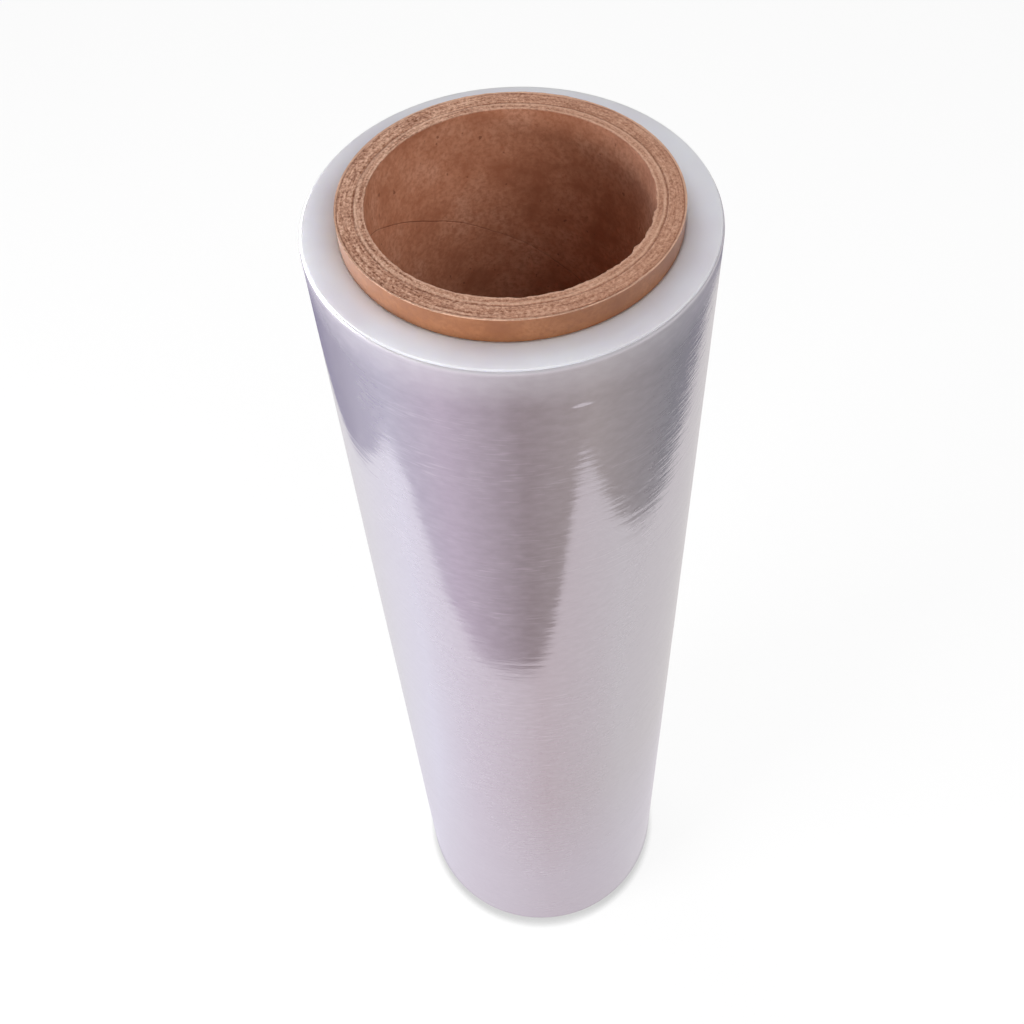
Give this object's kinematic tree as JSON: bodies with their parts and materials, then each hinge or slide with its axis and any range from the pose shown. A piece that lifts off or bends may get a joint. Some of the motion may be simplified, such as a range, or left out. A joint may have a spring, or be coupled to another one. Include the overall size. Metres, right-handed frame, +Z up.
{
  "type": "stretch wrap roll",
  "caption": "Roll of clear stretch wrap wound on a cardboard core that stands a little proud of the film at both ends; the open bore takes a dispenser or spindle.",
  "frame": {"origin": "centre of the core's lower end, which the roll stands on", "axes": "+Z up along the axis of the roll, from the end it stands on to the end seen from above"},
  "size_m": [0.112, 0.112, 0.414],
  "materials": {
    "core_board": "matt kraft board, smooth on the outside and in the bore, rough and fibrous on the sawn ends",
    "clear_film": "clear polyethylene film wound tight: glossy and finely streaked on the side, milky and smooth on the ends"
  },
  "bodies": {
    "root": {"cardboard_core": "core_board", "wound_film": "clear_film"}
  },
  "joints": []
}
